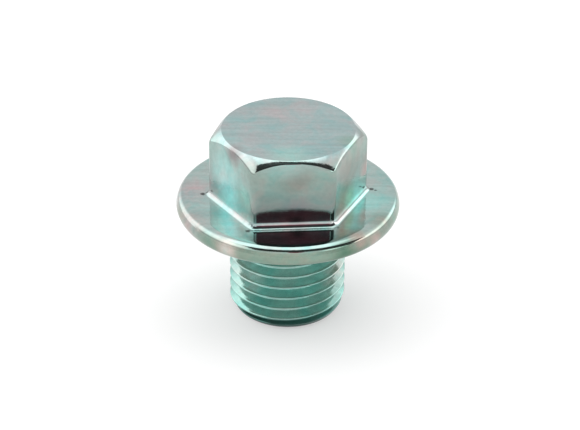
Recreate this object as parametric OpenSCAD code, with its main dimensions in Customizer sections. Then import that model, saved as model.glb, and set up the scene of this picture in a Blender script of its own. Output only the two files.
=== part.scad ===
/* [Thread] */
// Diameter over the thread's crests
thread_d = 11.9; // [11:0.05:13]
// Distance from one crest to the next
pitch = 1.25; // [1:0.05:1.5]
// Length of the threaded shank below the sealing face
shank_len = 10.9; // [8:0.1:16]
// Length of the lead-in chamfer at the shank's end, along the axis
lead_h = 1.2; // [0.6:0.1:1.8]
// Depth of the lead-in chamfer, towards the axis
lead_w = 0.7; // [0.3:0.05:1]
// Plain length left between the last thread and the sealing face
plain_len = 0.5; // [0.3:0.1:2]
// Turn of the thread's start about the axis
thread_turn = -162; // [-180:1:180]

/* [Flange] */
// Diameter of the flange
flange_d = 22.7; // [20:0.1:28]
// Thickness of the flange
flange_t = 2.2; // [1.8:0.1:3.5]
// Radius of the rounding on the flange's upper edge
lip_r = 0.75; // [0.4:0.05:0.9]
// How far that rounding lies inside the flange's widest line
lip_set = 0.1; // [0.05:0.05:0.3]
// Radius of the rounding below the widest line, as a share of the flange's thickness
rim_share = 0.48; // [0.42:0.01:0.49]

/* [Hex head] */
// Width across the flats
across_flats = 14; // [12:0.1:15]
// Height of the hexagon above the flange
hex_h = 7.3; // [5:0.05:10]
// Radius of the six upright edges
corner_r = 0.75; // [0.3:0.05:1]
// Diameter of the flat top inside the chamfer
top_d = 13.4; // [11:0.1:14]
// Angle of the top chamfer, down from the flat top
chamfer_angle = 42; // [25:1:50]
// Radius of the fillet where the hexagon meets the flange
fillet_r = 0.7; // [0.3:0.05:1]
// Turn of the hexagon about the axis, from a flat facing straight forward
hex_turn = 4.5; // [-30:0.5:30]

/* [Hidden] */
$fn = 96;
eps = 0.01;
thread_r = thread_d / 2;
rim_r = rim_share * flange_t;
rim_at = [flange_d / 2 - rim_r, rim_r];
lip_at = [flange_d / 2 - lip_set - lip_r, flange_t - lip_r];
flat_r = across_flats / 2;
side_len = 2 * (flat_r - corner_r) * tan(30);
corner_at = (flat_r - corner_r) / cos(30);
hex_top = flange_t + hex_h;
fillet_root = corner_r / 2;
fillet_sides = 5;
corner_sides = 6;
arc_lap = 0.003;

// The thread's groove is a 60 degree vee with a narrow flat root
groove_steps = 36;
flank_angle = 30;
thread_depth = 0.61 * pitch;
root_w = pitch / 6;
root_r = thread_r - thread_depth;
clear_r = thread_r + pitch / 12;
groove_low = -shank_len - pitch / 2;
groove_high = -plain_len - pitch / 2;
groove_turns = (groove_high - groove_low) / pitch;
groove_last = round(groove_turns * groove_steps);
run_out_steps = groove_steps / 2;

// Four corners of the groove's section at one step of the helix
function groove_section(i) =
    let (
        turn = 360 * i / groove_steps,
        z = groove_low + pitch * i / groove_steps,
        fade = min(1, (groove_last - i) / run_out_steps),
        r = clear_r - (clear_r - root_r) * fade,
        low_w = root_w / 2,
        wide_w = low_w + (clear_r - root_r) * tan(flank_angle),
        outline = [[r, -low_w], [r, low_w], [clear_r + eps, wide_w], [clear_r + eps, -wide_w]]
    )
    [for (p = outline) [p[0] * cos(turn), p[0] * sin(turn), z + p[1]]];

// The helical groove, which fades out of the shank below the flange
module thread_groove() {
    points = [for (i = [0 : groove_last]) each groove_section(i)];
    sides = [
        for (i = [0 : groove_last - 1], k = [0 : 3])
            let (a = 4 * i + k, b = 4 * i + (k + 1) % 4)
                each [[a, b + 4, b], [a, a + 4, b + 4]]
    ];
    last = 4 * groove_last;
    start_cap = [0, 1, 2, 3];
    end_cap = [last + 3, last + 2, last + 1, last];
    polyhedron(points = points, faces = concat([start_cap], sides, [end_cap]));
}

// Shank with its lead-in chamfer, sunk half way into the flange
module shank() {
    rotate_extrude()
        polygon([
            [0, -shank_len],
            [thread_r - lead_w, -shank_len],
            [thread_r, -shank_len + lead_h],
            [thread_r, flange_t / 2],
            [0, flange_t / 2]
        ]);
}

// Flange: a full round below, a tighter one on the upper edge and a short leaning side between them
module flange() {
    reach = norm(lip_at - rim_at);
    lean = atan2(lip_at[1] - rim_at[1], lip_at[0] - rim_at[0]) - acos((rim_r - lip_r) / reach);
    side = [cos(lean), sin(lean)];
    rotate_extrude() {
        polygon([[0, 0], [rim_at[0], 0], rim_at, lip_at, [lip_at[0], flange_t], [0, flange_t]]);
        polygon([rim_at, rim_at + side * (rim_r - arc_lap), lip_at + side * (lip_r - arc_lap), lip_at]);
        translate(rim_at) circle(rim_r);
        translate(lip_at) circle(lip_r);
    }
}

// Hexagon outline with rounded corners, whose arcs lap a hair over the flats
module hex_outline() {
    polygon([
        for (k = [0 : 5], s = [-1, 1])
            let (a = 60 * k, x = flat_r, y = s * side_len / 2)
                [x * cos(a) - y * sin(a), x * sin(a) + y * cos(a)]
    ]);
    for (k = [0 : 5])
        rotate(60 * k + 30)
            translate([corner_at, 0])
                circle(corner_r + arc_lap);
}

// The fillet's section at one turn round a corner: a coved strip rooted in the metal behind it
function fillet_section(corner, turn) =
    let (
        arc_r = fillet_r + eps,
        arc = [
            for (s = [0 : fillet_sides])
                let (a = 180 + 90 * s / fillet_sides)
                    [fillet_r + arc_r * cos(a), fillet_r + arc_r * sin(a)]
        ],
        root = [[fillet_r, -fillet_root], [-fillet_root, -fillet_root], [-fillet_root, fillet_r]]
    )
    [
        for (p = concat(arc, root))
            let (r = corner_r + p[0])
                [
                    corner_at * cos(corner) + r * cos(turn),
                    corner_at * sin(corner) + r * sin(turn),
                    flange_t + p[1]
                ]
    ];

// The fillet runs round the six corners and along the flats between them
module hex_fillet() {
    points = [
        for (k = [0 : 5], s = [0 : corner_sides])
            each fillet_section(60 * k + 30, 60 * k + 60 * s / corner_sides)
    ];
    count = fillet_sides + 4;
    stations = 6 * (corner_sides + 1);
    faces = [
        for (i = [0 : stations - 1], k = [0 : count - 1])
            let (
                here = count * i,
                ahead = count * ((i + 1) % stations),
                beside = (k + 1) % count
            )
                each [[here + k, ahead + beside, here + beside], [here + k, ahead + k, ahead + beside]]
    ];
    polyhedron(points = points, faces = faces);
}

// Hexagon cut by the top chamfer's cone, on its fillet
module hex_head() {
    slope = tan(chamfer_angle);
    wide_r = 2 * corner_at;
    rotate(hex_turn - 90) {
        intersection() {
            translate([0, 0, flange_t / 2]) linear_extrude(hex_h + flange_t / 2) hex_outline();
            rotate_extrude()
                polygon([
                    [0, 0],
                    [wide_r, 0],
                    [wide_r, hex_top - (wide_r - top_d / 2) * slope],
                    [top_d / 2, hex_top],
                    [0, hex_top]
                ]);
        }
        hex_fillet();
    }
}

module drain_plug() {
    color([0.55, 0.68, 0.66])
        difference() {
            union() {
                shank();
                flange();
                hex_head();
            }
            rotate(thread_turn) thread_groove();
        }
}

drain_plug();
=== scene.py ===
import math
import bmesh
import bpy
from mathutils import Matrix, Vector


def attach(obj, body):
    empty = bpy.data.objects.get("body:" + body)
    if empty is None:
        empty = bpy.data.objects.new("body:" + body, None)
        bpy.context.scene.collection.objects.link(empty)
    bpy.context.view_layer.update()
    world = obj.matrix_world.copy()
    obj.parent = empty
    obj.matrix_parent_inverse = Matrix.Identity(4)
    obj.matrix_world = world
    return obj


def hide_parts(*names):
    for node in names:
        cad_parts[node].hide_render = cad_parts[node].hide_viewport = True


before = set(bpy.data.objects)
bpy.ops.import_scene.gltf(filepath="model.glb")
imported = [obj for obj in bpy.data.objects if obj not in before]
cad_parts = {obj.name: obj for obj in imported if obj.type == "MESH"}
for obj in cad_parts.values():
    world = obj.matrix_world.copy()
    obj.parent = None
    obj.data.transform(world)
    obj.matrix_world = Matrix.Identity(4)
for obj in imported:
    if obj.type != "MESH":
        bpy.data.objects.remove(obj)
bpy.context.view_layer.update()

MM = 0.001

# Sizes of the plug in millimetres, in the row frame: the flange's underside is z = 0
THREAD_D = 11.9
PITCH = 1.25
SHANK_LEN = 10.9
LEAD_H = 1.2
LEAD_W = 0.7
FLANGE_R = 11.35
FLANGE_T = 2.2
FLAT_R = 7.0
CORNER_R = 0.75
CORNER_AT = (FLAT_R - CORNER_R) / math.cos(math.radians(30))
HEX_TOP = 9.5
TOP_R = 6.7
CHAMFER = math.radians(42)
HEX_TURN = math.radians(4.5)
NECK_R = THREAD_D / 2
NECK_FILLET = 0.3
THREAD_TOP = -0.45

# The chamfer's crown: four times its height, as a share of the width where the chamfer is widest
CHAMFER_SWELL = 0.30
WIDEST_CHAMFER = CORNER_AT + CORNER_R - TOP_R

# Radii in millimetres that round the chamfer's upper and lower edges
CROWN_R = 0.14
BROW_R = 0.8

# Where rings stand on the way out over the hexagon's flat top, and over the flange's top to its roll
TOP_SHARES = (0.12, 0.3, 0.5, 0.68, 0.82, 0.91, 0.95)
FLANGE_SHARES = (0.06, 0.2, 0.35, 0.5, 0.65, 0.8, 0.92)

# Steps between the upright rows along a flat of the hexagon and round a corner
FLAT_STEPS = 22
CORNER_STEPS = 12


def linear(code):
    """sRGB hex to linear red, green, blue and a full alpha."""
    parts = [int(code[i:i + 2], 16) / 255 for i in (0, 2, 4)]
    return (*(c / 12.92 if c <= 0.04045 else ((c + 0.055) / 1.055) ** 2.4 for c in parts), 1.0)


def add(tree, kind, *inputs, **settings):
    """Adds a node. Inputs fill its live sockets in order. A setting is a property, or a socket by its name
    with _ for a space. A value is plain, a socket, or a node, whose first live output is then meant."""
    node = tree.nodes.new(kind)
    for key in [key for key in settings if hasattr(node, key)]:
        setattr(node, key, settings.pop(key))
    pairs = list(zip([socket for socket in node.inputs if socket.enabled], inputs))
    pairs += [(node.inputs[key.replace("_", " ")], value) for key, value in settings.items()]
    for socket, value in pairs:
        if isinstance(value, bpy.types.Node):
            value = next(out for out in value.outputs if out.enabled)
        if isinstance(value, bpy.types.NodeSocket):
            tree.links.new(value, socket)
        else:
            socket.default_value = value
    return node


# Kinds of node that recur below, and the setting that softens both ends of a range
MATH = "ShaderNodeMath"
VECTOR = "ShaderNodeVectorMath"
RANGE = "ShaderNodeMapRange"
MIX = "ShaderNodeMix"
NOISE = "ShaderNodeTexNoise"
SOFT = {"interpolation_type": "SMOOTHSTEP"}


# Forged head and flange

def hex_radius(angle, grow=0.0):
    """Distance from the axis to the rounded hexagon grown by so much, in one direction."""
    step = math.radians(60)
    off_flat = (angle - HEX_TURN + math.radians(90)) % step
    off_flat = min(off_flat, step - off_flat)
    flat = (FLAT_R + grow) / math.cos(off_flat)
    if flat * math.sin(off_flat) <= (FLAT_R - CORNER_R) * math.tan(step / 2):
        return flat
    off_corner = step / 2 - off_flat
    across = CORNER_AT * math.sin(off_corner)
    return CORNER_AT * math.cos(off_corner) + math.sqrt(max(0.0, (CORNER_R + grow) ** 2 - across ** 2))


def station_angles(flat_steps, corner_steps):
    """Directions of the upright rows, close together round the hexagon's corners."""
    tangent = math.atan((FLAT_R - CORNER_R) * math.tan(math.radians(30)) / FLAT_R)
    angles = []
    for k in range(6):
        middle = HEX_TURN - math.radians(90) + math.radians(60) * k
        for i in range(flat_steps):
            s = -1 + 2 * i / flat_steps
            angles.append(middle + tangent * math.sin(s * math.pi / 2) * 0.5 + tangent * s * 0.5)
        rest = math.radians(60) - 2 * tangent
        for i in range(corner_steps):
            angles.append(middle + tangent + rest * i / corner_steps)
    return angles


def arc(cx, cy, radius, start, end, steps):
    """Points round an arc, angles in degrees from +x."""
    return [(cx + radius * math.cos(math.radians(start + (end - start) * i / steps)),
             cy + radius * math.sin(math.radians(start + (end - start) * i / steps)))
            for i in range(steps + 1)]


def round_corner(before, at, after, radius, steps):
    """Points of an arc that rounds the corner at, between the points before and after."""
    a = Vector(before) - Vector(at)
    b = Vector(after) - Vector(at)
    half = a.angle(b) / 2
    back = min(radius / math.tan(half), 0.45 * a.length, 0.45 * b.length)
    radius = back * math.tan(half)
    a.normalize()
    b.normalize()
    centre = Vector(at) + (a + b).normalized() * (radius / math.sin(half))
    first = Vector(at) + a * back - centre
    last = Vector(at) + b * back - centre
    turn = first.angle_signed(last)
    out = []
    for i in range(steps + 1):
        t = -turn * i / steps
        c, s = math.cos(t), math.sin(t)
        out.append((centre.x + first.x * c - first.y * s, centre.y + first.x * s + first.y * c))
    return out


def between(a, b, count, ends=0.12):
    """Points inside a straight run: even ones, and two close to each end, which keep its shading flat."""
    close = ends * 0.35
    even = [ends + (1 - 2 * ends) * i / count for i in range(1, count)]
    shares = [close, ends] + even + [1 - ends, 1 - close]
    return [(a[0] + (b[0] - a[0]) * s, a[1] + (b[1] - a[1]) * s) for s in shares]


# Millimetres of the flange's upper rounding and its larger lower one, with a short leaning side between
# them. Before the upper one, the flange's top rolls down a little over a short way.
LIP_R = 0.75
LIP_SET = 0.1
LIP_DROP = 0.03
LIP_AT = (FLANGE_R - LIP_SET - LIP_R, FLANGE_T - LIP_R - LIP_DROP)
ROLL_WIDTH = 0.3
ROLL_START = LIP_AT[0] - ROLL_WIDTH
ROLL_R = (ROLL_WIDTH ** 2 / LIP_DROP + LIP_DROP) / 2 + LIP_R
RIM_R = 0.48 * FLANGE_T
RIM_AT = (FLANGE_R - RIM_R, RIM_R)

# The fillet as three arcs down the flat: the slope in degrees at which each ends, its radius in mm and
# its steps
FILLET_ARCS = [(27, 0.6, 4), (50, 0.86, 4), (90, 0.3, 7)]


def fillet_section():
    """The fillet's points, as (distance out of the flat, height over the flange)."""
    points = [(0.0, 0.0)]
    start = 0
    for end, radius, steps in FILLET_ARCS:
        out, up = points[-1]
        bend = arc(out + radius, up, radius, 180 + start, 180 + end, steps)
        shift = (out - bend[0][0], up - bend[0][1])
        points += [(x + shift[0], y + shift[1]) for x, y in bend[1:]]
        start = end
    drop = points[-1][1]
    return [(out, up - drop) for out, up in points]


FILLET = fillet_section()


def flange_rings():
    """The rim from the lip to the flat underside and the neck's small fillet, as (radius, height)."""
    across = Vector(LIP_AT) - Vector(RIM_AT)
    lean = math.degrees(math.atan2(across.y, across.x) - math.acos((RIM_R - LIP_R) / across.length))
    roll_end = 90 - math.degrees(math.atan2(ROLL_WIDTH, ROLL_R - LIP_R - LIP_DROP))
    rings = arc(ROLL_START, FLANGE_T - ROLL_R, ROLL_R, 90, roll_end, 6)
    rings += arc(*LIP_AT, LIP_R, roll_end, lean, 20)[1:]
    low = arc(*RIM_AT, RIM_R, lean, -90, 22)
    rings += between(rings[-1], low[0], 2, 0.2) + low
    inner = (NECK_R + NECK_FILLET, 0.0)
    rings += between(rings[-1], inner, 4)
    rings += arc(inner[0], -NECK_FILLET, NECK_FILLET, 90, 180, 5)
    return rings


def head_column(angle):
    """Points from the top's middle down to the flange's top at one direction, as (radius, height)."""
    wall = hex_radius(angle)
    edge_z = HEX_TOP - (wall - TOP_R) * math.tan(CHAMFER)
    top = (TOP_R, HEX_TOP)
    edge = (wall, edge_z)
    foot = (wall, FLANGE_T + FILLET[0][1])
    crown = round_corner((0, HEX_TOP), top, edge, CROWN_R, 6)
    brow = round_corner(top, edge, foot, BROW_R, 9)
    points = [(TOP_R * s, HEX_TOP) for s in TOP_SHARES]
    points += crown
    wide = brow[0][0] - crown[-1][0]
    swell = CHAMFER_SWELL * wide ** 2 / WIDEST_CHAMFER
    for r, z in between(crown[-1], brow[0], 7, 0.06):
        share = (r - crown[-1][0]) / wide
        points.append((r, z + swell * share * (1 - share)))
    points += brow
    points += between(brow[-1], foot, 10, 0.05)
    points += [(hex_radius(angle, out), FLANGE_T + up) for out, up in FILLET]
    foot_r = points[-1][0]
    points += [(foot_r + (ROLL_START - foot_r) * s, FLANGE_T) for s in FLANGE_SHARES]
    return points


def build_head(bm, angles):
    """The forged head and flange as rings of vertices. Returns the last ring, round the neck."""
    columns = [head_column(a) + flange_rings() for a in angles]
    count = len(columns[0])
    pole = bm.verts.new((0, 0, HEX_TOP * MM))
    rings = []
    for row in range(count):
        ring = []
        for a, column in zip(angles, columns):
            r, z = column[row]
            ring.append(bm.verts.new((r * math.cos(a) * MM, r * math.sin(a) * MM, z * MM)))
        rings.append(ring)
    size = len(angles)
    for i in range(size):
        j = (i + 1) % size
        bm.faces.new((pole, rings[0][i], rings[0][j]))
        for row in range(count - 1):
            bm.faces.new((rings[row][i], rings[row + 1][i], rings[row + 1][j], rings[row][j]))
    return rings[-1]


# Rolled thread, by Geometry Nodes

# Height in mm at which a crest passes the front, and the share of a turn from +x round to the front
FRONT_CREST = -4.40
FRONT_TURN = 0.75

# The rows start three rows more than two turns below the end, so that the lowest closes whole at its middle
TURNS_BELOW = 2.1
ROWS_PER_PITCH = 30
THREAD_COLUMNS = 180
THREAD_TURNS = math.ceil((SHANK_LEN + THREAD_TOP) / PITCH + TURNS_BELOW)
THREAD_SIZES = {
    "Pitch": PITCH * MM,
    "Crest radius": NECK_R * MM,
    "Depth": 0.86 * MM,
    "Crest width": 0.12 * MM,
    "Flank angle": math.radians(30),
    "Edge softness": 0.05 * MM,
    "Root softness": 0.06 * MM,
    "Shank length": SHANK_LEN * MM,
    "Top height": THREAD_TOP * MM,
    "Run-out": 0.7 * MM,
    "Lead-in length": LEAD_H * MM,
    "Lead-in depth": LEAD_W * MM,
    "Tip bevel": 0.12 * MM,
    "Tip slope": 1.2,
    "Turns": float(THREAD_TURNS),
    "First turn": -TURNS_BELOW,
    "Crest gathering": 0.4,
    "Phase": 0.5 - FRONT_CREST / PITCH + FRONT_TURN,
    "Seam distance": 0.0015 * MM,
}


def thread_tree():
    """A grid bent round the axis along the helix, cut by the lead-in cone, with a closed end."""
    tree = bpy.data.node_groups.new("rolled_thread", "GeometryNodeTree")
    face = tree.interface
    face.new_socket("Geometry", in_out="INPUT", socket_type="NodeSocketGeometry")
    for name in THREAD_SIZES:
        face.new_socket(name, in_out="INPUT", socket_type="NodeSocketFloat")
    for name in ("Rows", "Columns"):
        face.new_socket(name, in_out="INPUT", socket_type="NodeSocketInt")
    face.new_socket("Finish", in_out="INPUT", socket_type="NodeSocketMaterial")
    face.new_socket("Geometry", in_out="OUTPUT", socket_type="NodeSocketGeometry")
    given = tree.nodes.new("NodeGroupInput").outputs

    grid = add(tree, "GeometryNodeMeshGrid", 1.0, 1.0, given["Columns"], given["Rows"])
    flat = add(tree, "ShaderNodeSeparateXYZ", add(tree, "GeometryNodeInputPosition")).outputs
    u = add(tree, MATH, flat[0], 0.5, operation="ADD")
    v = add(tree, MATH, flat[1], 0.5, operation="ADD")

    # Each row climbs with the helix, from over two turns below the end, and rows gather at the crests
    pitch = given["Pitch"]
    low = add(tree, MATH, given["Shank length"], -1.0, operation="MULTIPLY")
    high = given["Top height"]
    climb = add(tree, MATH, v, given["Turns"], given["First turn"], operation="MULTIPLY_ADD")
    low_turns = add(tree, MATH, low, pitch, operation="DIVIDE")
    start = add(tree, MATH, low_turns, given["Phase"], operation="ADD")
    row_turns = add(tree, MATH, start, climb, operation="ADD")
    row_angle = add(tree, MATH, row_turns, math.tau, operation="MULTIPLY")
    pull = add(tree, MATH, given["Crest gathering"], math.tau, operation="DIVIDE")
    even_run = add(tree, MATH, climb, u, operation="ADD")
    swing = add(tree, MATH, row_angle, operation="SINE")
    run = add(tree, MATH, swing, pull, even_run, operation="MULTIPLY_ADD")
    raw = add(tree, MATH, run, pitch, low, operation="MULTIPLY_ADD")
    z = add(tree, MATH, add(tree, MATH, raw, low, operation="MAXIMUM"), high, operation="MINIMUM")

    # The vee between two crests, with a soft edge at its crest and its root
    helix = add(tree, MATH, add(tree, MATH, z, pitch, operation="DIVIDE"), u, operation="SUBTRACT")
    phase = add(tree, MATH, add(tree, MATH, helix, given["Phase"], operation="ADD"), operation="FRACT")
    share = add(tree, MATH, add(tree, MATH, phase, 0.5, operation="SUBTRACT"), operation="ABSOLUTE")
    off = add(tree, MATH, share, pitch, operation="MULTIPLY")
    steep = add(tree, MATH, math.pi / 2, given["Flank angle"], operation="SUBTRACT")
    half_crest = add(tree, MATH, given["Crest width"], 0.5, operation="MULTIPLY")
    past = add(tree, MATH, off, half_crest, operation="SUBTRACT")
    fall = add(tree, MATH, past, add(tree, MATH, steep, operation="TANGENT"), operation="MULTIPLY")
    crest = given["Crest radius"]
    flank = add(tree, MATH, crest, fall, operation="SUBTRACT")
    ridge = add(tree, MATH, crest, flank, given["Edge softness"], operation="SMOOTH_MIN")
    root = add(tree, MATH, crest, given["Depth"], operation="SUBTRACT")
    groove = add(tree, MATH, ridge, root, given["Root softness"], operation="SMOOTH_MAX")

    # The thread runs out below the flange, and the lead-in cone and the end's bevel cut it below
    out_from = add(tree, MATH, high, given["Run-out"], operation="SUBTRACT")
    fade = add(tree, RANGE, z, out_from, high, **SOFT)
    filled = add(tree, MATH, crest, groove, operation="SUBTRACT")
    turned = add(tree, MATH, filled, fade, groove, operation="MULTIPLY_ADD")
    rise = add(tree, MATH, z, low, operation="SUBTRACT")
    tip_r = add(tree, MATH, crest, given["Lead-in depth"], operation="SUBTRACT")
    cone = add(tree, MATH, given["Lead-in depth"], given["Lead-in length"], operation="DIVIDE")
    lead = add(tree, MATH, rise, cone, tip_r, operation="MULTIPLY_ADD")
    bevel_r = add(tree, MATH, tip_r, given["Tip bevel"], operation="SUBTRACT")
    bevel = add(tree, MATH, rise, given["Tip slope"], bevel_r, operation="MULTIPLY_ADD")
    tip = add(tree, MATH, lead, bevel, given["Edge softness"], operation="SMOOTH_MIN")
    coned = add(tree, MATH, turned, tip, given["Edge softness"], operation="SMOOTH_MIN")

    # Rows below the end shrink to its middle and close it
    beyond = add(tree, MATH, add(tree, MATH, low, raw, operation="SUBTRACT"), pitch, operation="DIVIDE")
    shrink = add(tree, MATH, 1.0, add(tree, MATH, beyond, 0.0, operation="MAXIMUM"), operation="SUBTRACT")
    r = add(tree, MATH, coned, add(tree, MATH, shrink, 0.0, operation="MAXIMUM"), operation="MULTIPLY")
    angle = add(tree, MATH, u, math.tau, operation="MULTIPLY")
    x = add(tree, MATH, r, add(tree, MATH, angle, operation="COSINE"), operation="MULTIPLY")
    y = add(tree, MATH, r, add(tree, MATH, angle, operation="SINE"), operation="MULTIPLY")
    bent = add(tree, "GeometryNodeSetPosition", grid, Position=add(tree, "ShaderNodeCombineXYZ", x, y, z))
    joined = add(tree, "GeometryNodeMergeByDistance", bent, Distance=given["Seam distance"])
    real = add(tree, "GeometryNodeRealizeInstances", joined)
    add(tree, "NodeGroupOutput", add(tree, "GeometryNodeSetMaterial", real, Material=given["Finish"]))
    return tree


def build_thread(finish):
    """Evaluates the thread's tree and returns it as a plain mesh."""
    mesh = bpy.data.meshes.new("thread_blank")
    blank = bpy.data.objects.new("thread_blank", mesh)
    bpy.context.scene.collection.objects.link(blank)
    change = blank.modifiers.new("rolled_thread", "NODES")
    change.node_group = thread_tree()
    values = dict(THREAD_SIZES)
    values["Rows"] = ROWS_PER_PITCH * THREAD_TURNS + 1
    values["Columns"] = THREAD_COLUMNS + 1
    values["Finish"] = finish
    for item in change.node_group.interface.items_tree:
        if item.item_type == "SOCKET" and item.in_out == "INPUT" and item.name in values:
            change[item.identifier] = values[item.name]
    shot = blank.evaluated_get(bpy.context.evaluated_depsgraph_get())
    plain = bpy.data.meshes.new_from_object(shot)
    blank.modifiers.remove(change)
    bpy.data.objects.remove(blank)
    return plain


def stitch(bm, upper, lower):
    """Joins two rings with different counts by a strip of triangles, both in order of angle."""
    start = math.atan2(upper[0].co.y, upper[0].co.x)
    # Turned on by a hair, so that rounding can't put the first vertex last
    hair = 1e-6

    def order(ring):
        turns = [(math.atan2(vert.co.y, vert.co.x) - start + hair) % math.tau for vert in ring]
        return sorted(zip(turns, ring), key=lambda pair: pair[0])

    def angle_at(ring, k):
        return ring[k % len(ring)][0] + math.tau * (k // len(ring))

    top, low = order(upper), order(lower)
    i = j = 0
    while i < len(top) or j < len(low):
        a, b = top[i % len(top)][1], low[j % len(low)][1]
        if i < len(top) and (j == len(low) or angle_at(top, i + 1) <= angle_at(low, j + 1)):
            i += 1
            corner = top[i % len(top)][1]
        else:
            j += 1
            corner = low[j % len(low)][1]
        bm.faces.new((a, b, corner))


# Finish

# Tint of the plate by height in mm, with painted shade in the thread's lead-in and a painted highlight on the
# fillet
TINT_AND_PAINTED_LIGHT_BY_HEIGHT = [
    # The two lowest stops darken the lead-in: painted shade, the reflection of the table's shadow under the
    # flange
    (-10.9, "2E403C"),
    (-10.1, "587A74"),
    (-9.6, "8AB4AC"),
    (-0.5, "8AB4AC"),
    (0.1, "889C8E"),
    (1.6, "889C8E"),
    (2.1, "9AB4B0"),
    (2.25, "99B2AE"),
    # From 2.4 to 2.75 mm the fillet is paler: a painted highlight that brightens its lines of light
    (2.4, "AEB4B3"),
    (2.75, "AEB4B3"),
    (3.0, "8A9A96"),
    (3.6, "768280"),
    (6.0, "84958F"),
    (8.2, "8EA49C"),
    (9.0, "9CA8A4"),
    (9.45, "9CB0B0"),
]

# Soft patches of tint, with place and reach in mm, and colour: some where the passivate dried thicker or
# thinner, some painted highlight and painted shade, as marked below. A later patch lies over an earlier one.
TINT_AND_PAINTED_LIGHT_PATCHES = [
    # The hexagon's left, right and front faces
    ((-7, -4, 6), 5.5, "A6CAC6"),
    ((-6, -4, 4), 2.5, "94CCCC"),
    ((-4.6, -6.6, 5.2), 2.2, "A6C0B8"),
    ((7, -4, 6.5), 4.0, "828880"),
    ((6, -5, 4), 2.5, "907260"),
    ((0.5, -7, 8.1), 2.8, "74746C"),
    ((1, -8, 4), 2.5, "767A7E"),
    # The flange's top at the left and right, and the head's top at the back and front
    ((-10, 0, 2.5), 4.0, "AAA8A8"),
    ((8, -2, 2.5), 4.0, "92C6C0"),
    ((-1, 4, 9.5), 5.0, "A6AEAE"),
    ((0, -6, 9.5), 3.5, "9CC4BE"),
    # The flange's front, its rim and the front fillet. The pale pink ones on the rim's left and right are a
    # painted highlight, and the small dark one at the front fillet is painted shade
    ((6, -9.5, 0.5), 3.0, "58806C"),
    ((-5.5, -7, 2.3), 3.0, "A6B6B2"),
    ((-9.5, -5.5, 1.8), 3.5, "A8A8A5"),
    ((7, -8.5, 1.9), 2.0, "A09A90"),
    ((1, -8.2, 2.5), 1.2, "4C746C"),
    # The thread at the left and right: painted highlight, paler and greyer where the thread catches the
    # bright walls
    ((-5.5, -2.5, -5.5), 3.5, "9AB2AC"),
    ((-4, -4.5, -5.5), 2.6, "A6C6C0"),
    ((5.5, -2.5, -5.5), 3.5, "A4B2AC"),
    # Smaller ones over the right corner and face, then over the rim, where the last two are a painted
    # highlight that widens the rim's shine at its front left and right
    ((7.9, 0, 5.0), 2.2, "94928C"),
    ((6.5, -3.5, 3.6), 1.8, "86A088"),
    ((9.5, -5.5, 1.8), 3.0, "8C9A90"),
    ((-6, -9.6, 1.1), 1.7, "C4C0B8"),
    ((8.6, -7.2, 1.1), 1.3, "A8A49C"),
    # The chamfer at the left, its corner there, and the right
    ((-5.5, -4.5, 8.8), 1.8, "808483"),
    ((-6.3, -5.2, 7.9), 1.6, "B4C2BC"),
    ((6, -2.5, 8.9), 2.0, "84A498"),
]

# Small dark nicks left by the forging dies round the hexagon's foot: place and reach in mm
NICKS = [
    ((-8.63, -0.63, 2.25), 0.34),
    ((-8.22, -0.47, 2.35), 0.26),
    ((-8.05, -0.5, 2.8), 0.24),
    ((-7.97, -0.6, 3.2), 0.16),
    ((8.5, 0.66, 2.22), 0.34),
    ((8.17, 0.9, 2.4), 0.22),
    ((8.9, 0.43, 2.2), 0.20),
    ((-3.9, -7.8, 2.2), 0.34),
    ((-3.55, -7.3, 2.5), 0.22),
    ((5.0, -7.0, 2.25), 0.16),
]
# Share of the tint left in a nick, the part of its reach that is fully dark, and its edge's stray in mm
NICK_SHADE = 0.12
NICK_CORE = 0.3
NICK_RAGGED = 0.25

# What the passivate's cloud multiplies red, green and blue by, at three levels of its noise
CLOUD = [
    (0.34, (0.84, 0.99, 0.99, 1.0)),
    (0.50, (1.04, 1.00, 1.00, 1.0)),
    (0.66, (1.18, 0.97, 0.98, 1.0)),
]

# Size in mm of each pattern: a patch of the cloud, the lines lengthways, across and in depth, the ragged
# edge of a nick, the plate's grain and the waviness of the forged steel. The real grain and drawn lines
# are too fine to show, so both are drawn coarser.
CLOUD_SIZE = 2.5
LINE_SIZE = (10, 0.7, 1.4)
NICK_EDGE_SIZE = 0.25
GRAIN_SIZE = 0.45
WAVE_SIZE = 1.5

# Least and most that the lines and the grain multiply the tint by, and the height in mm of the waviness
LINE_SHADE = (0.94, 1.06)
GRAIN_SHADE = (0.95, 1.05)
WAVE_HEIGHT = 0.08
WAVE_STRENGTH = 0.14


def per_metre(mm):
    """Scale of a noise whose features are so many millimetres across."""
    return 1 / (mm * MM)


def tint_run(tree, value, stops):
    """The colour that runs through the stops as the value rises."""
    tint = stops[0][1]
    for (low, _), (high, colour) in zip(stops, stops[1:]):
        share = add(tree, RANGE, value, low, high)
        tint = add(tree, MIX, share, tint, colour, data_type="RGBA")
    return tint


def plate_tint_and_painted_light(tree, spot):
    """Tint of the passivate with its painted highlights and shade: by height, then the patches over it."""
    height = add(tree, "ShaderNodeSeparateXYZ", spot).outputs[2]
    tint = tint_run(tree, height, [(z * MM, linear(code)) for z, code in TINT_AND_PAINTED_LIGHT_BY_HEIGHT])
    for place, reach, code in TINT_AND_PAINTED_LIGHT_PATCHES:
        far = add(tree, VECTOR, spot, Vector(place) * MM, operation="DISTANCE")
        cover = add(tree, RANGE, far, 0.0, reach * MM, 1.0, 0.0, **SOFT)
        tint = add(tree, MIX, cover, tint, linear(code), data_type="RGBA")
    return tint


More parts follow.
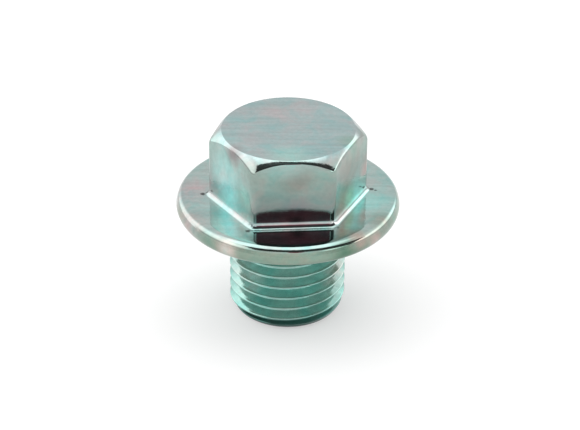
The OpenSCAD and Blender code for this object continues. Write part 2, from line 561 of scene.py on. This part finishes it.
def nick_shade(tree, spot):
    """One everywhere, falling to a dark speck with a ragged edge at each nick."""
    ragged = add(tree, NOISE, spot, Scale=per_metre(NICK_EDGE_SIZE), Detail=2.0).outputs["Color"]
    stray = add(tree, VECTOR, ragged, (0.5, 0.5, 0.5), operation="SUBTRACT")
    push = add(tree, VECTOR, stray, NICK_RAGGED * MM, operation="SCALE")
    there = add(tree, VECTOR, spot, push, operation="ADD")
    shade = 1.0
    for place, reach in NICKS:
        far = add(tree, VECTOR, there, Vector(place) * MM, operation="DISTANCE")
        speck = add(tree, RANGE, far, NICK_CORE * reach * MM, reach * MM, NICK_SHADE, 1.0, **SOFT)
        shade = add(tree, MATH, shade, speck, operation="MULTIPLY")
    return shade


# Roughness of the bright foot, least and most by its grain, then what each other zone adds to it, from
# none at the first height in mm to all at the second
DULL_FOOT = (0.05, 0.11)
DULL_FACES = (3.4, 5.5, 0.09)
DULL_CHAMFER = (7.4, 8.0, -0.10)
DULL_THREAD = (2.0, 1.4, 0.07)


def zinc_plate():
    """Bright zinc plate with a bluish-green passivate: smooth metal with a teal, grey and pink cloud, and
    painted highlights and shade in its tint.
    """
    mat = bpy.data.materials.new("zinc_plate_passivated")
    mat.use_nodes = True
    tree = mat.node_tree
    tree.nodes.clear()
    spot = add(tree, "ShaderNodeTexCoord").outputs["Object"]

    # Cloud of the passivate, in soft patches with finer mottling inside
    cloud = add(tree, NOISE, spot, Scale=per_metre(CLOUD_SIZE), Detail=5.0, Roughness=0.6, Distortion=0.6)
    clouded = tint_run(tree, cloud, CLOUD)
    tint = plate_tint_and_painted_light(tree, spot)
    mixed = add(tree, MIX, 1.0, tint, clouded, data_type="RGBA", blend_type="MULTIPLY")

    # Faint lines of the blank's drawing, the plate's grain and the nicks
    lengthways = add(tree, "ShaderNodeMapping", spot, Scale=[per_metre(size) for size in LINE_SIZE])
    drawn = add(tree, NOISE, lengthways, Scale=1.0, Detail=3.0, Roughness=0.6)
    lines = add(tree, RANGE, drawn, 0.35, 0.65, *LINE_SHADE)
    grain = add(tree, NOISE, spot, Scale=per_metre(GRAIN_SIZE), Detail=3.0, Roughness=0.6)
    speckle = add(tree, RANGE, grain, 0.3, 0.7, *GRAIN_SHADE)
    marked = add(tree, MATH, lines, speckle, operation="MULTIPLY")
    worn = add(tree, MATH, marked, nick_shade(tree, spot), operation="MULTIPLY")
    colour = add(tree, VECTOR, mixed, worn, operation="SCALE")

    # Roughness by zone, and the slow waviness of the forged steel below the plate
    height = add(tree, "ShaderNodeSeparateXYZ", spot).outputs[2]
    dull = add(tree, RANGE, grain, 0.3, 0.7, *DULL_FOOT)
    for low, high, more in (DULL_FACES, DULL_CHAMFER, DULL_THREAD):
        added = add(tree, RANGE, height, low * MM, high * MM, 0.0, more, **SOFT)
        dull = add(tree, MATH, dull, added, operation="ADD")
    wave = add(tree, NOISE, spot, Scale=per_metre(WAVE_SIZE), Detail=4.5, Roughness=0.62)
    bump = add(tree, "ShaderNodeBump", Strength=WAVE_STRENGTH, Distance=WAVE_HEIGHT * MM, Height=wave)
    metal = add(tree, "ShaderNodeBsdfPrincipled", colour, 1.0, dull, Normal=bump)
    add(tree, "ShaderNodeOutputMaterial", metal)
    return mat


def build_plug():
    """The forged head and the rolled thread, joined at the neck into one closed mesh."""
    finish = zinc_plate()
    bm = bmesh.new()
    neck = build_head(bm, station_angles(FLAT_STEPS, CORNER_STEPS))
    head_count = len(bm.verts)
    thread = build_thread(finish)
    bm.from_mesh(thread)
    bm.verts.ensure_lookup_table()
    open_top = [v for v in bm.verts[head_count:] if v.is_boundary]
    stitch(bm, neck, open_top)
    bmesh.ops.dissolve_degenerate(bm, dist=1e-9, edges=bm.edges)
    bmesh.ops.recalc_face_normals(bm, faces=bm.faces)
    for f in bm.faces:
        f.smooth = True
        f.material_index = 0
    mesh = bpy.data.meshes.new("drain_plug_forged")
    bm.to_mesh(mesh)
    bm.free()
    bpy.data.meshes.remove(thread)
    mesh.materials.clear()
    mesh.materials.append(finish)
    plug = bpy.data.objects.new("drain_plug_forged", mesh)
    bpy.context.scene.collection.objects.link(plug)
    return plug


plug = build_plug()
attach(plug, "root")
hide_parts("drain_plug")

# Floor, light and camera

# Distances in mm and angles in degrees, as the photo's perspective gives them. The focal length is in
# pixels of the photo, and the sensor's width in mm sets the scale of the lens only.
CAMERA_TARGET = (0.226, 0.0, -0.566)
CAMERA_FAR = 214.03
CAMERA_EL = math.radians(30.778)
CAMERA_ROLL = math.radians(0.503)
PHOTO_W = 580
FOCUS_PX = 2094.04
SENSOR_W = 36.0

WHITE = linear("FFFFFF")
TABLE_COLOUR = linear("F1F1F1")
# Share of pure white that is shown in place of the matt table
TABLE_WHITENESS = 0.45
# Radius of the table in metres
TABLE_R = 3.0

# Light of the tent. A wall or the roof starts at the first share of the way to its side and is full from
# the second, with so much more light. The light from below and above is the level that they add to.
TENT_LEVEL = 1.12
LEFT_WALL = (-0.36, -0.70, 1.05)
RIGHT_WALL = (0.45, 0.72, 1.6)
LEFT_WALL_BACK = (0.02, 0.30)
LEFT_WALL_HIGH = (0.15, 0.45)
RIGHT_WALL_FOOT = (0.05, 0.25)
RIGHT_WALL_TOP = (0.40, 0.62, 0.15)
FRONT_WALL = (-0.80, -0.92, 0.2)
ROOF = (0.80, 0.90, 1.0)
LOW_LIGHT = 0.78
HIGH_LIGHT = 0.98
LEVEL_RUN = (-0.1, 0.9)

# The opening for the lens: its direction, where its edge starts and ends as degrees from its middle, the
# share of light left in it, and what it multiplies red, green and blue by
LENS_AT = (-81, 30.8)
LENS_EDGE = (8.0, 5.5)
LENS_SHADE = 0.14
LENS_TINT = (2.3, 0.75, 1.0, 1.0)

# The dark gap between the front wall and the roof: the way across it in degrees, then how far it bows, its
# middle, where its long edges start and end, the share of light left in it, and its two ends and its back,
# all as shares of the way to that side
GAP_ACROSS = (90, 66.4)
GAP_BOW = 0.33
GAP_MIDDLE = 0.472
GAP_HALF = (0.235, 0.262)
GAP_SHADE = 0.06
GAP_ENDS_MIDDLE = 0.195
GAP_ENDS = (0.685, 0.725)
GAP_BACK = (-0.12, -0.02)


def direction(azimuth, elevation):
    """Unit vector towards an azimuth and elevation in degrees."""
    a, e = math.radians(azimuth), math.radians(elevation)
    return (math.cos(a) * math.cos(e), math.sin(a) * math.cos(e), math.sin(e))


def studio():
    """A light tent: bright walls left and right, a roof, a dark gap before it and an opening for the lens."""
    world = bpy.data.worlds.new("light_tent")
    bpy.context.scene.world = world
    world.use_nodes = True
    tree = world.node_tree
    tree.nodes.clear()
    way = add(tree, "ShaderNodeTexCoord").outputs["Generated"]
    x, y, z = add(tree, "ShaderNodeSeparateXYZ", way).outputs

    # The left wall stands at the back and high up only
    low, high, more = LEFT_WALL
    left = add(tree, RANGE, x, low, high, 0.0, more, **SOFT)
    far_back = add(tree, RANGE, y, *LEFT_WALL_BACK, **SOFT)
    high_up = add(tree, RANGE, z, *LEFT_WALL_HIGH, **SOFT)
    left_part = add(tree, MATH, far_back, high_up, operation="MAXIMUM")
    left = add(tree, MATH, left, left_part, operation="MULTIPLY")

    # The right wall starts above the table and dims towards its top
    low, high, more = RIGHT_WALL
    right = add(tree, RANGE, x, low, high, 0.0, more, **SOFT)
    above_table = add(tree, RANGE, z, *RIGHT_WALL_FOOT, **SOFT)
    right = add(tree, MATH, right, above_table, operation="MULTIPLY")
    low, high, less = RIGHT_WALL_TOP
    dimmed = add(tree, RANGE, z, low, high, 1.0, less, **SOFT)
    right = add(tree, MATH, right, dimmed, operation="MULTIPLY")

    # Roof, front wall and the level of the whole tent
    low, high, more = ROOF
    roof = add(tree, RANGE, z, low, high, 0.0, more, **SOFT)
    level = add(tree, RANGE, z, *LEVEL_RUN, LOW_LIGHT, HIGH_LIGHT, **SOFT)
    low, high, more = FRONT_WALL
    front = add(tree, RANGE, y, low, high, 0.0, more, **SOFT)
    walls = add(tree, MATH, add(tree, MATH, level, front, operation="ADD"), left, operation="ADD")
    light = add(tree, MATH, walls, add(tree, MATH, right, roof, operation="MAXIMUM"), operation="ADD")

    # Opening for the lens
    to_lens = add(tree, VECTOR, way, direction(*LENS_AT), operation="DOT_PRODUCT")
    rim, hole = (math.cos(math.radians(angle)) for angle in LENS_EDGE)
    lens = add(tree, RANGE, to_lens, rim, hole, 1.0, LENS_SHADE, **SOFT)

    # Dark gap, which bows with the square of the way aside and stops at its ends and its back
    across = add(tree, VECTOR, way, direction(*GAP_ACROSS), operation="DOT_PRODUCT")
    aside = add(tree, MATH, x, x, operation="MULTIPLY")
    bowed = add(tree, MATH, aside, GAP_BOW, across, operation="MULTIPLY_ADD")
    off_gap = add(tree, MATH, bowed, GAP_MIDDLE, operation="SUBTRACT")
    off_gap = add(tree, MATH, off_gap, operation="ABSOLUTE")
    gap = add(tree, RANGE, off_gap, *GAP_HALF, GAP_SHADE, 1.0, **SOFT)
    off_ends = add(tree, MATH, x, GAP_ENDS_MIDDLE, operation="SUBTRACT")
    ends = add(tree, RANGE, add(tree, MATH, off_ends, operation="ABSOLUTE"), *GAP_ENDS, **SOFT)
    behind = add(tree, RANGE, y, *GAP_BACK, **SOFT)
    shut = add(tree, MATH, ends, behind, operation="MAXIMUM")
    gap = add(tree, MATH, gap, shut, operation="MAXIMUM")

    dark = add(tree, MATH, lens, gap, operation="MULTIPLY")
    light = add(tree, MATH, light, dark, operation="MULTIPLY")
    light = add(tree, MATH, light, TENT_LEVEL, operation="MULTIPLY")
    warm = add(tree, MIX, lens, LENS_TINT, WHITE, data_type="RGBA")
    add(tree, "ShaderNodeOutputWorld", add(tree, "ShaderNodeBackground", warm, light))


def white_table():
    """Matt white table, shown near to white to the camera and in the metal, with its shadow kept."""
    mat = bpy.data.materials.new("white_table")
    mat.use_nodes = True
    tree = mat.node_tree
    tree.nodes.clear()
    path = add(tree, "ShaderNodeLightPath").outputs
    seen = path["Is Camera Ray"]
    for ray in ("Is Glossy Ray", "Is Transmission Ray"):
        seen = add(tree, MATH, seen, path[ray], operation="MAXIMUM")
    share = add(tree, MATH, seen, TABLE_WHITENESS, operation="MULTIPLY")
    matt = add(tree, "ShaderNodeBsdfDiffuse", TABLE_COLOUR)
    white = add(tree, "ShaderNodeEmission", WHITE, 1.0)
    add(tree, "ShaderNodeOutputMaterial", add(tree, "ShaderNodeMixShader", share, matt, white))
    return mat


def floor():
    """The round white table under the shank's end."""
    mesh = bpy.data.meshes.new("table")
    bm = bmesh.new()
    bmesh.ops.create_circle(bm, cap_ends=True, radius=TABLE_R, segments=96)
    bm.to_mesh(mesh)
    bm.free()
    mesh.materials.append(white_table())
    table = bpy.data.objects.new("table", mesh)
    table.location.z = -SHANK_LEN * MM
    bpy.context.scene.collection.objects.link(table)


def camera():
    """The camera where the photo was taken from, with the photo's lens."""
    data = bpy.data.cameras.new("camera")
    data.sensor_width = SENSOR_W
    data.lens = SENSOR_W * FOCUS_PX / PHOTO_W
    data.clip_start = 0.01
    view = bpy.data.objects.new("camera", data)
    bpy.context.scene.collection.objects.link(view)
    place = Vector(CAMERA_TARGET) + CAMERA_FAR * Vector((0, -math.cos(CAMERA_EL), math.sin(CAMERA_EL)))
    tip = Matrix.Rotation(math.radians(90) - CAMERA_EL, 4, "X")
    view.matrix_world = Matrix.Translation(place * MM) @ tip @ Matrix.Rotation(CAMERA_ROLL, 4, "Z")
    bpy.context.scene.camera = view


studio()
floor()
camera()
bpy.context.scene.view_settings.view_transform = "Standard"
